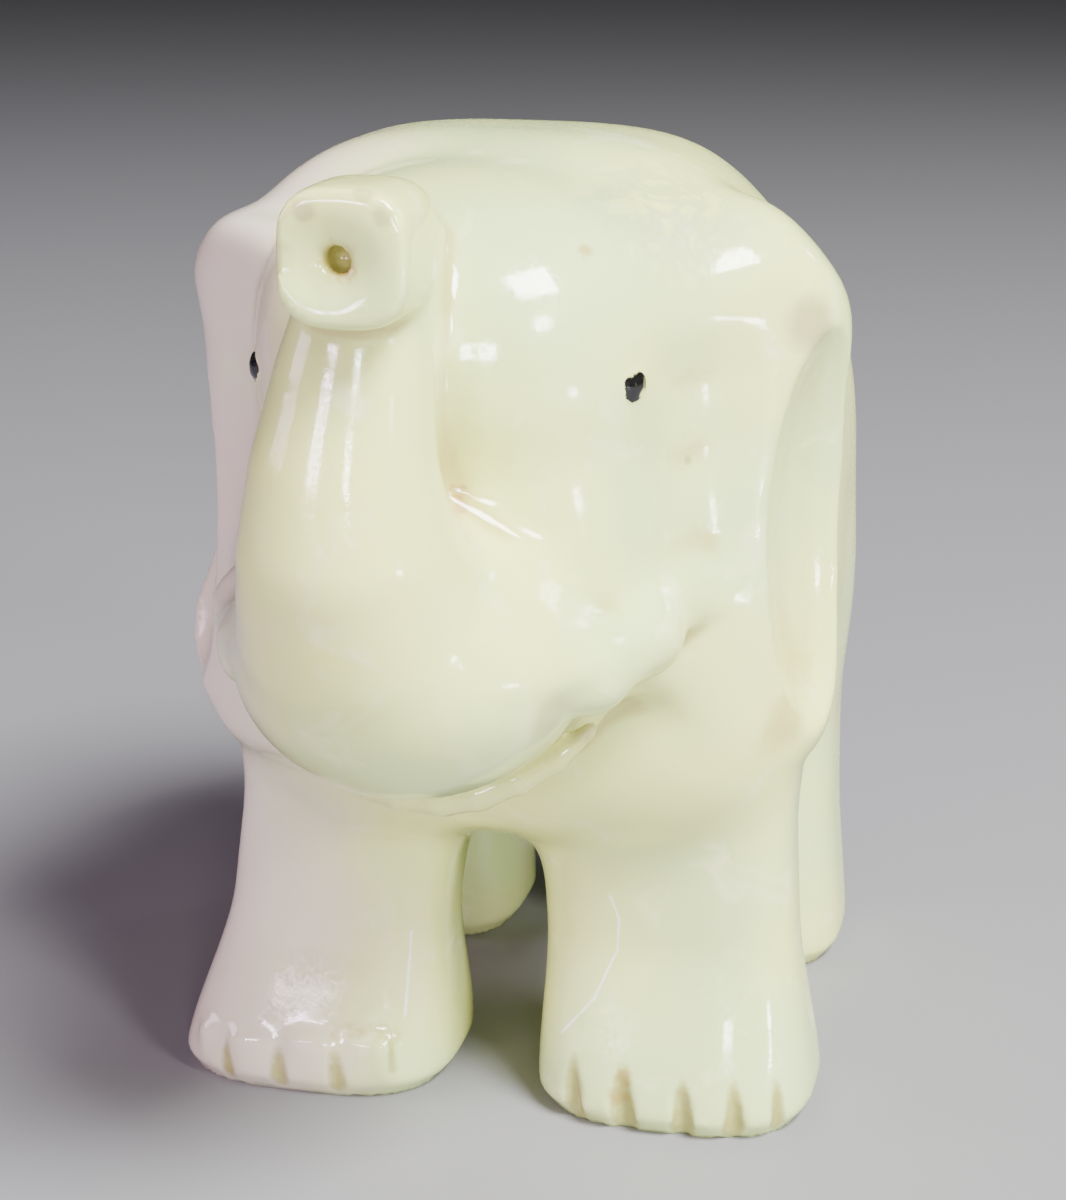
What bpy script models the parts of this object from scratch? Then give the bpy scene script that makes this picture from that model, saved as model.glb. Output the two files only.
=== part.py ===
"""A small elephant carved from one piece of pale jade, standing with its trunk raised to its forehead.

Metres, +Z up. The elephant faces -Y and its left side is +X. The origin is on the ground under the
middle of the box that the figure fills. The form is worked out as one field, a distance to the
surface at every point of space, built from named forms that flow into each other as carved stone
does. A Volume Cube samples the field, Volume to Mesh makes its surface, and a Boolean cuts the
soles flat.
"""

import math

import bpy
from mathutils import Vector

# The height of the figure is its one main size. Every place, reach and fillet below is a share of it,
# given in parts of a sixty-sixth of the height, which is a millimetre at this size.
HEIGHT = 0.066
MM = HEIGHT / 66


def mm(*values):
    """A point or a set of sizes, as shares of the height."""
    return Vector(values) * MM


# Sampling: the grain of the carving and how much of its surface the finished solid keeps.
GRAIN = 0.8 * MM
SURFACE_KEPT = 0.15
BOX_MARGIN = 2.5 * MM

# Trunk of the body: the shoulders under a hood with sloping sides, and the rump behind them.
SHOULDERS_AT = mm(0, 3.5, 42)
SHOULDERS_SIZE = mm(19.7, 14.2, 22.3)
SHOULDERS_SQUARENESS = 3.2
HOOD_LEFT_AT, HOOD_LEFT_SLOPE, HOOD_LEFT_FALL = mm(22.6, 0, 55.2), math.radians(48), math.radians(11)
HOOD_RIGHT_AT, HOOD_RIGHT_SLOPE, HOOD_RIGHT_FALL = mm(-20.6, 0, 55.8), math.radians(49), math.radians(6)
RUMP_AT = mm(0.1, 18.8, 36.8)
RUMP_SIZE = mm(20.6, 17.1, 23.9)
RUMP_SQUARENESS = 2.7
CHEST_AT = mm(1.7, -1.5, 32)
CHEST_SIZE = mm(18.0, 9.2, 12.4)
CHEST_SQUARENESS = 3.2
BELLY_HEIGHT = 19.5 * MM

# Head: the skull with its dome, the flat of the face, the jaw, and the snout that bulges forward.
SKULL_AT = mm(0, -6, 53.1)
SKULL_SIZE = mm(13.2, 15.8, 10.2)
SKULL_SQUARENESS = 2.3
FACE_AT = mm(0, -9, 48)
FACE_SIZE = mm(11.5, 11.8, 9)
FACE_SQUARENESS = 2.6
JAW_AT = mm(0, -8.5, 39.5)
JAW_SIZE = mm(12.6, 12.3, 10.2)
JAW_SQUARENESS = 2.8
SNOUT_AT = mm(-0.4, -20.5, 36.3)
SNOUT_SIZE = mm(10.6, 10.5, 8.1)
HEAD_CREASE_ACROSS = (-9 * MM, 6 * MM)

# Raised trunk: centres and radii from the snout up to the tip, and the web that ties it to the face.
TRUNK_PATH = (
    (mm(-0.8, -21.7, 37.0), 8.4 * MM),
    (mm(-1.7, -25.2, 40.4), 6.4 * MM),
    (mm(-2.1, -27.0, 44.5), 5.0 * MM),
    (mm(-2.1, -28.0, 49.0), 4.2 * MM),
    (mm(-1.5, -28.6, 53.5), 3.7 * MM),
    (mm(-0.8, -29.0, 59.0), 3.5 * MM),
)
WEB_AT = mm(-1.1, -23.5, 53)
WEB_SIZE = mm(2.7, 7.5, 10.8)
WEB_SQUARENESS = 3.0
TIP_AT = mm(-0.1, -31.8, 61.6)
TIP_SIZE = mm(3.65, 6.2, 4.25)
TIP_SQUARENESS = 2.6
TIP_FACE_AT = -35.0 * MM
NOSTRIL_AT = mm(-0.4, -35.0, 61.4)
NOSTRIL_DISH_AT, NOSTRIL_DISH = mm(-0.7, -35.2, 61.6), mm(2.4, 0.6, 2.3)
NOSTRIL_RADIUS, NOSTRIL_DEPTH = 0.75 * MM, 1.6 * MM

# Mouth: the short tusk that lies along the snout on each side, and the thin lower lip.
TUSK_PATH = (
    (mm(12.6, -10.8, 37.6), 2.0 * MM),
    (mm(12.2, -15.2, 36.6), 2.2 * MM),
    (mm(10.0, -20.4, 35.7), 2.2 * MM),
    (mm(6.4, -24.4, 35.6), 1.8 * MM),
)
TUSK_CREASE_HEIGHTS = (34.6 * MM, 37.2 * MM)
LIP_AT = mm(1, -13.4, 33.6)
LIP_SIZE = mm(12, 7.6, 8.8)
LIP_SQUARENESS = 1.7
LIP_EDGE = (
    (mm(-7.0, -12.0, 24.6), 0.5 * MM),
    (mm(-4.9, -14.3, 25.1), 0.9 * MM),
    (mm(-2.2, -16.2, 25.5), 1.0 * MM),
    (mm(0.3, -17.2, 25.9), 1.0 * MM),
    (mm(4.2, -17.6, 27.3), 1.0 * MM),
    (mm(6.9, -17.3, 29.0), 0.5 * MM),
)

# Ears: a flap with a flat front, hollowed between its front ridge and its rear rim, and cut off
# aslant at its hem. Both are drawn on the +X side. The right one, at -X, is mirrored, shorter and
# more waisted. A valley parts the face from the left one.
LEFT_EAR_AT, LEFT_EAR_SIZE = mm(14.5, -6, 42), mm(8.7, 9.8, 20)
RIGHT_EAR_AT, RIGHT_EAR_SIZE = mm(15, -6, 42.0), mm(8.4, 9.8, 17.6)
EAR_SQUARENESS = 4.0
EAR_RIDGE_AT, EAR_RIDGE_TURN = mm(18.3, -7.2, 0), math.radians(43)
LEFT_WAIST, LEFT_WAIST_HEIGHTS = 0.8 * MM, (22 * MM, 38 * MM, 48 * MM, 56 * MM)
RIGHT_WAIST, RIGHT_WAIST_HEIGHTS = 3.5 * MM, (30.5 * MM, 40 * MM, 50 * MM, 59 * MM)
RIGHT_EAR_SHIFT = 1.2 * MM
LEFT_HEM_AT, LEFT_HEM_TURN, LEFT_HEM_BLEND = mm(20.0, 0, 24.8), math.radians(-38), 6 * MM
RIGHT_HEM_AT, RIGHT_HEM_TURN, RIGHT_HEM_BLEND = mm(22.6, 0, 29.1), math.radians(46), 0.8 * MM
CHEEK_VALLEY = (
    (mm(15.8, -12.4, 56.0), 0.8 * MM),
    (mm(16.2, -12.0, 52.0), 1.8 * MM),
    (mm(16.4, -11.8, 47.0), 1.8 * MM),
    (mm(16.8, -11.4, 42.0), 1.0 * MM),
)
SCOOP_AT = mm(24.2, -5.2, 40.5)
SCOOP_SIZE = mm(6.1, 6.1, 15.0)

# Legs: centre of the foot, how far the top leans, half sizes at the top and at the foot.
LEGS = (
    (mm(12.7, -0.2), mm(-2.0, -1.8), mm(8.4, 6.8), mm(9.4, 7.9)),
    (mm(-12.5, -0.2), mm(5.0, -1.8), mm(7.7, 6.8), mm(9.7, 7.9)),
    (mm(12.5, 26.5), mm(-0.8, -1.5), mm(7.6, 7.6), mm(8.2, 7.9)),
    (mm(-12.5, 26.5), mm(0.8, -1.5), mm(7.6, 7.6), mm(8.2, 7.9)),
)
LEG_SQUARENESS = 3.0
LEG_TOP, LEG_TOP_ROUNDING = 36 * MM, 15 * MM
FOOT_FLARE_TOP = 16 * MM
SOLE_ROUNDING = 1.1 * MM
SOLE_EDGE_HEIGHT = 1.8 * MM
SOLE_CUT = 2 * MM

# Tail: a short cord in relief down the rump.
TAIL_PATH = (
    (mm(0, 35.0, 48), 1.3 * MM),
    (mm(0.6, 35.6, 40), 1.3 * MM),
    (mm(0.6, 35.6, 31), 1.2 * MM),
    (mm(0, 34.9, 25.5), 1.6 * MM),
)

# Blends: how wide a fillet joins each form to the rest.
SOFT_BLEND = 7 * MM
LIMB_BLEND = 6 * MM
FACE_BLEND = 4 * MM
HOOD_BLEND = 4 * MM
EAR_BLEND = 2 * MM
CREVICE_BLEND = 1.5 * MM
CRISP_BLEND = 0.5 * MM

STONE_COLOUR = (0.80, 0.82, 0.70, 1)
STONE_ROUGHNESS = 0.2


class Field:
    """A number or a vector that the node tree works out at every point of space."""

    def __init__(self, tree, socket):
        self.tree = tree
        self.socket = socket

    def node(self, kind, operation, *others):
        node = self.tree.nodes.new(kind)
        node.operation = operation
        for socket, value in zip(node.inputs, (self, *others)):
            if isinstance(value, Field):
                self.tree.links.new(value.socket, socket)
            else:
                socket.default_value = value
        return node

    def math(self, operation, *others):
        node = self.node("ShaderNodeMath", operation, *others)
        return Field(self.tree, node.outputs[0])

    def vector(self, operation, *others):
        node = self.node("ShaderNodeVectorMath", operation, *others)
        found = next(socket for socket in node.outputs if socket.enabled)
        return Field(self.tree, found)

    def parts(self):
        node = self.tree.nodes.new("ShaderNodeSeparateXYZ")
        self.tree.links.new(self.socket, node.inputs[0])
        return [Field(self.tree, socket) for socket in node.outputs]

    def __add__(self, other):
        return self.math("ADD", other)

    def __sub__(self, other):
        return self.math("SUBTRACT", other)

    def __mul__(self, other):
        return self.math("MULTIPLY", other)

    def __truediv__(self, other):
        return self.math("DIVIDE", other)

    def joined(self, other, blend):
        """This form and the other, with a fillet where they meet."""
        return self.math("SMOOTH_MIN", other, blend)

    def cut(self, other, blend):
        """This form without the other, with a rounded rim."""
        return self.math("SMOOTH_MAX", other * -1.0, blend)

    def within(self, other, blend):
        """What this form and the other share."""
        return self.math("SMOOTH_MAX", other, blend)


def rounded(offset, size, squareness=2.0):
    """Distance to an ellipsoid, squarer as squareness goes above 2. offset is from its centre."""
    share = offset.vector("DIVIDE", size).vector("ABSOLUTE")
    raised = share.vector("POWER", (squareness,) * 3).vector("DOT_PRODUCT", (1, 1, 1))
    reach = raised.math("POWER", 1 / squareness) + 1e-6
    return offset.vector("LENGTH") * ((reach - 1.0) / reach)


def stroke(point, start, end, start_radius, end_radius):
    """Distance to a round bar that tapers from start to end."""
    along = end - start
    offset = point.vector("SUBTRACT", start)
    share = offset.vector("DOT_PRODUCT", along / along.length_squared)
    share = share.math("MAXIMUM", 0.0).math("MINIMUM", 1.0)
    nearest = point.tree.nodes.new("ShaderNodeVectorMath")
    nearest.operation = "SCALE"
    nearest.inputs[0].default_value = along
    point.tree.links.new(share.socket, nearest.inputs["Scale"])
    gap = offset.vector("SUBTRACT", Field(point.tree, nearest.outputs[0]))
    return gap.vector("LENGTH") - (share * (end_radius - start_radius) + start_radius)


def chain(point, path, blend):
    """Distance to a bar that follows a path of (centre, radius)."""
    form = None
    for (start, start_radius), (end, end_radius) in zip(path, path[1:]):
        bar = stroke(point, start, end, start_radius, end_radius)
        form = bar if form is None else form.joined(bar, blend)
    return form


def half_space(point, at, outward):
    """Distance to everything behind a plane through a point."""
    return point.vector("SUBTRACT", at).vector("DOT_PRODUCT", outward)


def ramp(value, start, end, low, high):
    """A smooth step from low, where value is start, to high, where it is end."""
    node = value.tree.nodes.new("ShaderNodeMapRange")
    node.interpolation_type = "SMOOTHSTEP"
    value.tree.links.new(value.socket, node.inputs["Value"])
    for name, number in zip(("From Min", "From Max", "To Min", "To Max"), (start, end, low, high)):
        node.inputs[name].default_value = number
    return Field(value.tree, node.outputs["Result"])


def opposite(point, shift):
    """The point mirrored across X and shifted, so that a form drawn at +X shows at -X."""
    return point.vector("MULTIPLY", (-1, 1, 1)).vector("ADD", (shift, 0, 0))


def mirrored(point):
    """The point with its X made positive, so that a form drawn at +X shows on both sides."""
    x, y, z = point.parts()
    return combined(x.math("ABSOLUTE"), y, z)


def combined(*coordinates):
    tree = coordinates[0].tree
    node = tree.nodes.new("ShaderNodeCombineXYZ")
    for coordinate, socket in zip(coordinates, node.inputs):
        tree.links.new(coordinate.socket, socket)
    return Field(tree, node.outputs[0])


def leg(point, at, lean, size, foot_size):
    """A column with a rounded square section that flares to its foot and rounds under at the sole."""
    x, y, z = point.parts()
    flare = ramp(z, 0, FOOT_FLARE_TOP, 1.0, 0.0)
    under = ramp(z, 0, SOLE_EDGE_HEIGHT, SOLE_ROUNDING, 0.0)
    half_width = flare * (foot_size.x - size.x) + size.x - under
    half_length = flare * (foot_size.y - size.y) + size.y - under
    x = x - at.x - z * (lean.x / LEG_TOP)
    y = y - at.y - z * (lean.y / LEG_TOP)
    raised = powers(x / half_width, LEG_SQUARENESS) + powers(y / half_length, LEG_SQUARENESS)
    reach = raised.math("POWER", 1 / LEG_SQUARENESS) + 1e-6
    radial = (x * x + y * y).math("SQRT") * ((reach - 1.0) / reach)
    return radial.within(z - LEG_TOP, LEG_TOP_ROUNDING)


def powers(value, power):
    return value.math("ABSOLUTE").math("POWER", power)


def body(point):
    shoulders = rounded(point.vector("SUBTRACT", SHOULDERS_AT), SHOULDERS_SIZE, SHOULDERS_SQUARENESS)
    rump = rounded(point.vector("SUBTRACT", RUMP_AT), RUMP_SIZE, RUMP_SQUARENESS)
    _, _, z = point.parts()
    trunk = shoulders.joined(rump, SOFT_BLEND).within(z * -1.0 + BELLY_HEIGHT, SOFT_BLEND)
    chest = rounded(point.vector("SUBTRACT", CHEST_AT), CHEST_SIZE, CHEST_SQUARENESS)
    return trunk.joined(chest, LIMB_BLEND)


def head(point):
    skull = rounded(point.vector("SUBTRACT", SKULL_AT), SKULL_SIZE, SKULL_SQUARENESS)
    face = rounded(point.vector("SUBTRACT", FACE_AT), FACE_SIZE, FACE_SQUARENESS)
    jaw = rounded(point.vector("SUBTRACT", JAW_AT), JAW_SIZE, JAW_SQUARENESS)
    snout = rounded(point.vector("SUBTRACT", SNOUT_AT), SNOUT_SIZE)
    return skull.joined(face, FACE_BLEND).joined(jaw, FACE_BLEND).joined(snout, FACE_BLEND)


def ear(side, at, size, waist, waist_heights, hem_at, hem_turn, hem_blend):
    """The flap before it is hollowed."""
    x, y, z = side.parts()
    low, full, still_full, high = waist_heights
    drawn_in = ramp(z, low, full, 0.0, waist) * ramp(z, still_full, high, 1.0, 0.0)
    flap = rounded(combined(x + drawn_in, y, z).vector("SUBTRACT", at), size, EAR_SQUARENESS)
    front = Vector((math.sin(EAR_RIDGE_TURN), -math.cos(EAR_RIDGE_TURN), 0))
    flap = flap.within(half_space(side, EAR_RIDGE_AT, front), FACE_BLEND)
    below = Vector((math.sin(hem_turn), 0, -math.cos(hem_turn)))
    return flap.within(half_space(side, hem_at, below), hem_blend)


def scoop(side):
    return rounded(side.vector("SUBTRACT", SCOOP_AT), SCOOP_SIZE)


def raised_trunk(point):
    column = chain(point, TRUNK_PATH, FACE_BLEND)
    tip = rounded(point.vector("SUBTRACT", TIP_AT), TIP_SIZE, TIP_SQUARENESS)
    tip = tip.within(half_space(point, Vector((0, TIP_FACE_AT, 0)), Vector((0, -1, 0))), CRISP_BLEND)
    web = rounded(point.vector("SUBTRACT", WEB_AT), WEB_SIZE, WEB_SQUARENESS)
    return column.joined(web, CREVICE_BLEND).joined(tip, CREVICE_BLEND)


def hood(point, form):
    """The form cut back to the slopes at both sides of the hood."""
    for side, at, turn, fall in ((1, HOOD_LEFT_AT, HOOD_LEFT_SLOPE, HOOD_LEFT_FALL),
                                 (-1, HOOD_RIGHT_AT, HOOD_RIGHT_SLOPE, HOOD_RIGHT_FALL)):
        slope = Vector((side * math.sin(turn), math.sin(fall), math.cos(turn)))
        form = form.within(half_space(point, at, slope.normalized()), HOOD_BLEND)
    return form


def elephant(point):
    right = opposite(point, RIGHT_EAR_SHIFT)
    form = body(point)
    for at, lean, size, foot_size in LEGS:
        form = form.joined(leg(point, at, lean, size, foot_size), LIMB_BLEND)
    form = form.joined(ear(point, LEFT_EAR_AT, LEFT_EAR_SIZE, LEFT_WAIST, LEFT_WAIST_HEIGHTS,
                           LEFT_HEM_AT, LEFT_HEM_TURN, LEFT_HEM_BLEND), EAR_BLEND)
    form = form.joined(ear(right, RIGHT_EAR_AT, RIGHT_EAR_SIZE, RIGHT_WAIST, RIGHT_WAIST_HEIGHTS,
                           RIGHT_HEM_AT, RIGHT_HEM_TURN, RIGHT_HEM_BLEND), EAR_BLEND)
    x, _, z = point.parts()
    form = hood(point, form).joined(head(point), ramp(x, *HEAD_CREASE_ACROSS, CRISP_BLEND, FACE_BLEND))
    side = mirrored(point)
    form = form.cut(chain(point, CHEEK_VALLEY, EAR_BLEND), LIMB_BLEND)
    form = form.cut(scoop(point), CRISP_BLEND).cut(scoop(right), CRISP_BLEND)
    lip = rounded(point.vector("SUBTRACT", LIP_AT), LIP_SIZE, LIP_SQUARENESS)
    form = form.joined(lip, CREVICE_BLEND).joined(chain(point, LIP_EDGE, CRISP_BLEND), CRISP_BLEND)
    form = form.joined(raised_trunk(point), CREVICE_BLEND)
    crease = ramp(z, *TUSK_CREASE_HEIGHTS, CRISP_BLEND, FACE_BLEND)
    form = form.joined(chain(side, TUSK_PATH, CREVICE_BLEND), crease)
    form = form.joined(chain(point, TAIL_PATH, CRISP_BLEND), CREVICE_BLEND)
    form = form.cut(rounded(point.vector("SUBTRACT", NOSTRIL_DISH_AT), NOSTRIL_DISH), CRISP_BLEND)
    drill = stroke(point, NOSTRIL_AT, NOSTRIL_AT + Vector((0, NOSTRIL_DEPTH, 0)),
                   NOSTRIL_RADIUS, NOSTRIL_RADIUS)
    return form.cut(drill, CRISP_BLEND * 0.5)


def carving_tree(lowest, highest, grain):
    """The node tree that samples the field in a box and makes its surface."""
    tree = bpy.data.node_groups.new("carving", "GeometryNodeTree")
    tree.interface.new_socket("Geometry", in_out="OUTPUT", socket_type="NodeSocketGeometry")
    point = Field(tree, tree.nodes.new("GeometryNodeInputPosition").outputs[0])
    samples = tree.nodes.new("GeometryNodeVolumeCube")
    tree.links.new((elephant(point) * -1.0).socket, samples.inputs["Density"])
    samples.inputs["Background"].default_value = -1.0
    samples.inputs["Min"].default_value = lowest
    samples.inputs["Max"].default_value = highest
    for axis, low, high in zip("XYZ", lowest, highest):
        samples.inputs["Resolution " + axis].default_value = round((high - low) / grain)
    surface = tree.nodes.new("GeometryNodeVolumeToMesh")
    surface.inputs["Threshold"].default_value = 0.0
    tree.links.new(samples.outputs[0], surface.inputs[0])
    result = tree.nodes.new("NodeGroupOutput")
    tree.links.new(surface.outputs[0], result.inputs[0])
    return tree


def box_of_figure():
    """The lowest and highest corners that the figure reaches, with a margin."""
    left = max(LEFT_EAR_AT.x + LEFT_EAR_SIZE.x, *(at.x + foot_size.x for at, _, _, foot_size in LEGS))
    right = min(at.x - foot_size.x for at, _, _, foot_size in LEGS)
    back = max(RUMP_AT.y + RUMP_SIZE.y, max(at.y + radius for at, radius in TAIL_PATH))
    top = max(SHOULDERS_AT.z + SHOULDERS_SIZE.z, SKULL_AT.z + SKULL_SIZE.z, TIP_AT.z + TIP_SIZE.z)
    margin = Vector((BOX_MARGIN,) * 3)
    return Vector((right, TIP_FACE_AT, -SOLE_CUT)) - margin, Vector((left, back, top)) + margin


def stone():
    material = bpy.data.materials.new("pale_jade")
    material.use_nodes = True
    shader = material.node_tree.nodes["Principled BSDF"]
    shader.inputs["Base Color"].default_value = STONE_COLOUR
    shader.inputs["Roughness"].default_value = STONE_ROUGHNESS
    shader.inputs["Metallic"].default_value = 0.0
    return material


def ground_cutter(lowest, highest):
    """A block whose top is the ground, which cuts the four soles flat."""
    bpy.ops.mesh.primitive_cube_add(size=1)
    ground = bpy.context.object
    ground.name = "ground_cutter"
    depth = 2 * (SOLE_CUT + BOX_MARGIN)
    ground.scale = (2 * (highest.x - lowest.x), 2 * (highest.y - lowest.y), depth)
    ground.location = (0, 0, -depth / 2)
    ground.hide_render = True
    ground.display_type = "WIRE"
    return ground


def carved_elephant():
    lowest, highest = box_of_figure()
    mesh = bpy.data.meshes.new("elephant")
    figure = bpy.data.objects.new("elephant", mesh)
    bpy.context.scene.collection.objects.link(figure)
    figure.data.materials.append(stone())
    middle = (lowest + highest) / 2
    figure.location = (-middle.x, -middle.y, 0)
    carve = figure.modifiers.new("carve", "NODES")
    carve.node_group = carving_tree(lowest, highest, GRAIN)
    return figure, lowest, highest


def main():
    for thing in list(bpy.data.objects):
        bpy.data.objects.remove(thing)
    figure, lowest, highest = carved_elephant()
    thin = figure.modifiers.new("thin", "DECIMATE")
    thin.ratio = SURFACE_KEPT
    soles = figure.modifiers.new("soles", "BOOLEAN")
    soles.operation = "DIFFERENCE"
    soles.object = ground_cutter(lowest, highest)


main()
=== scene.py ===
"""Looks of the small jade elephant: the polished, slightly translucent stone with its fine carving.

Metres, in the CAD's frame. The form is the CAD's own field of named forms, sampled finer. The toes,
the crease of the mouth, the brow above the left ear and the eyes are carved here only, and the feet,
the trunk and the lip follow the photograph a little closer than the CAD does.
"""

import math

import bpy
import numpy as np
from mathutils import Matrix, Vector


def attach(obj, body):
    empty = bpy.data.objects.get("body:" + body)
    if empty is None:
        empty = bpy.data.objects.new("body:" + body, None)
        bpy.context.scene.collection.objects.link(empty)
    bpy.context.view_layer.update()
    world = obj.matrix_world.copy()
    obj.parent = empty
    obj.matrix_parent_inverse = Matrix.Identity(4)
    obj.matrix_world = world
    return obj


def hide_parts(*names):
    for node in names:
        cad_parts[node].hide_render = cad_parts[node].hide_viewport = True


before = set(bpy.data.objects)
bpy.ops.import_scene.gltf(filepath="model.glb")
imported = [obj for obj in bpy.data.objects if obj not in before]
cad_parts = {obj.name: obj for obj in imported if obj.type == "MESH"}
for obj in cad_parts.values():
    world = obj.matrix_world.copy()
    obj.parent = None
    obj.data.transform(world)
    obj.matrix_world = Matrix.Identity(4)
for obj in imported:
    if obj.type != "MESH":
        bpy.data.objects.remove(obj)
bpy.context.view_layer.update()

# The height of the figure is its one main size. Every place, reach and fillet below is a share of it,
# given in parts of a sixty-sixth of the height, which is a millimetre at this size.
HEIGHT = 0.066
MM = HEIGHT / 66


def mm(*values):
    """A point or a set of sizes, as shares of the height."""
    return Vector(values) * MM


# Sampling: the grain of the carving and how much of its surface the finished mesh keeps.
GRAIN = 0.38 * MM
SURFACE_KEPT = 0.4
BOX_MARGIN = 2.5 * MM

# Trunk of the body: the shoulders under a hood with sloping sides, and the rump behind them.
SHOULDERS_AT = mm(0, 3.5, 42)
SHOULDERS_SIZE = mm(19.7, 14.2, 22.3)
SHOULDERS_SQUARENESS = 3.2
HOOD_LEFT_AT, HOOD_LEFT_SLOPE, HOOD_LEFT_FALL = mm(22.6, 0, 55.2), math.radians(48), math.radians(11)
HOOD_RIGHT_AT, HOOD_RIGHT_SLOPE, HOOD_RIGHT_FALL = mm(-20.6, 0, 55.8), math.radians(49), math.radians(6)
RUMP_AT = mm(0.1, 18.8, 36.8)
RUMP_SIZE = mm(20.6, 17.1, 23.9)
RUMP_SQUARENESS = 2.7
CHEST_AT = mm(1.7, -1.5, 32)
CHEST_SIZE = mm(18.0, 9.2, 12.4)
CHEST_SQUARENESS = 3.2
BELLY_HEIGHT = 19.5 * MM

# Head: the skull with its dome, the flat of the face, the jaw, and the snout that bulges forward.
SKULL_AT = mm(0, -6, 53.1)
SKULL_SIZE = mm(13.2, 15.8, 10.2)
SKULL_SQUARENESS = 2.3
FACE_AT = mm(0, -9, 48)
FACE_SIZE = mm(11.5, 11.8, 9)
FACE_SQUARENESS = 2.6
JAW_AT = mm(0, -8.5, 39.5)
JAW_SIZE = mm(12.6, 12.3, 10.2)
JAW_SQUARENESS = 2.8
SNOUT_AT = mm(-0.4, -20.5, 36.3)
SNOUT_SIZE = mm(10.6, 10.5, 8.1)
HEAD_CREASE_ACROSS = (-9 * MM, 6 * MM)

# Raised trunk: centres and radii from the snout up to the tip, and the web that ties it to the face.
TRUNK_PATH = (
    (mm(-0.8, -21.7, 37.0), 8.4 * MM),
    (mm(-1.8, -25.8, 40.4), 6.6 * MM),
    (mm(-2.1, -28.2, 44.5), 5.2 * MM),
    (mm(-2.1, -28.3, 49.0), 4.4 * MM),
    (mm(-1.5, -28.2, 53.5), 3.7 * MM),
    (mm(-0.8, -28.4, 59.0), 3.5 * MM),
)
WEB_AT = mm(-1.1, -23.5, 53)
WEB_SIZE = mm(2.7, 7.5, 10.8)
WEB_SQUARENESS = 3.0
TIP_AT = mm(-0.1, -31.8, 61.5)
TIP_SIZE = mm(3.65, 6.2, 3.75)
TIP_SQUARENESS = 3.0
TIP_FACE_AT = -35.0 * MM
NOSTRIL_AT = mm(-0.4, -35.0, 61.4)
NOSTRIL_DISH_AT, NOSTRIL_DISH = mm(-0.9, -35.3, 61.4), mm(2.5, 0.85, 2.0)
NOSTRIL_RADIUS, NOSTRIL_DEPTH = 0.75 * MM, 1.6 * MM

# Mouth: the short tusk that lies along the snout on each side, and the thin lower lip.
TUSK_PATH = (
    (mm(12.6, -10.8, 37.6), 2.0 * MM),
    (mm(12.2, -15.2, 36.6), 2.2 * MM),
    (mm(10.0, -20.4, 35.7), 2.2 * MM),
    (mm(6.4, -24.4, 35.6), 1.8 * MM),
)
TUSK_CREASE_HEIGHTS = (34.6 * MM, 37.2 * MM)
LIP_AT = mm(1, -13.4, 33.6)
LIP_SIZE = mm(9.4, 7.6, 8.8)
LIP_SQUARENESS = 1.7
LIP_EDGE = (
    (mm(-7.0, -12.0, 24.6), 0.5 * MM),
    (mm(-4.9, -14.3, 25.0), 0.8 * MM),
    (mm(-2.4, -16.0, 25.3), 0.95 * MM),
    (mm(0.3, -17.1, 25.8), 1.0 * MM),
    (mm(2.8, -17.6, 26.6), 1.0 * MM),
    (mm(5.2, -17.7, 27.8), 0.9 * MM),
    (mm(7.5, -17.5, 29.3), 0.75 * MM),
    (mm(9.5, -17.1, 31.1), 0.5 * MM),
)

# Ears: a flap with a flat front, hollowed between its front ridge and its rear rim, and cut off
# aslant at its hem. Both are drawn on the +X side. The right one, at -X, is mirrored, shorter and
# more waisted. A valley parts the face from the left one.
LEFT_EAR_AT, LEFT_EAR_SIZE = mm(14.5, -6, 42), mm(8.7, 9.8, 19.6)
RIGHT_EAR_AT, RIGHT_EAR_SIZE = mm(15, -6, 42.0), mm(8.4, 9.8, 17.6)
EAR_SQUARENESS = 4.0
EAR_RIDGE_AT, EAR_RIDGE_TURN = mm(18.3, -7.2, 0), math.radians(43)
LEFT_WAIST, LEFT_WAIST_HEIGHTS = 0.8 * MM, (22 * MM, 38 * MM, 48 * MM, 56 * MM)
RIGHT_WAIST, RIGHT_WAIST_HEIGHTS = 3.5 * MM, (30.5 * MM, 40 * MM, 50 * MM, 59 * MM)
RIGHT_EAR_SHIFT = 1.2 * MM
LEFT_HEM_AT, LEFT_HEM_TURN, LEFT_HEM_BLEND = mm(20.0, 0, 24.8), math.radians(-38), 6 * MM
RIGHT_HEM_AT, RIGHT_HEM_TURN, RIGHT_HEM_BLEND = mm(22.6, 0, 29.1), math.radians(46), 0.8 * MM
CHEEK_VALLEY = (
    (mm(16.0, -12.6, 54.5), 0.6 * MM),
    (mm(16.2, -12.0, 51.0), 1.8 * MM),
    (mm(16.4, -11.8, 47.0), 1.8 * MM),
    (mm(16.8, -11.4, 42.0), 1.0 * MM),
)
SCOOP_AT = mm(24.2, -5.2, 40.5)
SCOOP_SIZE = mm(6.1, 6.1, 15.0)

# Legs: centre of the foot, how far the top leans, half sizes at the top and at the foot.
LEGS = (
    (mm(12.7, -0.2), mm(-2.0, -1.2), mm(8.4, 5.4), mm(9.4, 8.4)),
    (mm(-12.5, -0.2), mm(5.0, -1.2), mm(7.7, 5.4), mm(9.7, 8.4)),
    (mm(12.5, 26.5), mm(-0.8, -1.5), mm(7.6, 7.6), mm(8.2, 7.9)),
    (mm(-12.5, 26.5), mm(0.8, -1.5), mm(7.6, 7.6), mm(8.2, 7.9)),
)
LEG_SQUARENESS = 3.0
LEG_TOP, LEG_TOP_ROUNDING = 36 * MM, 15 * MM
FOOT_FLARE_TOP = 13 * MM
SOLE_ROUNDING = 0.8 * MM
SOLE_EDGE_HEIGHT = 1.4 * MM
SOLE_CUT = 2 * MM

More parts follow.
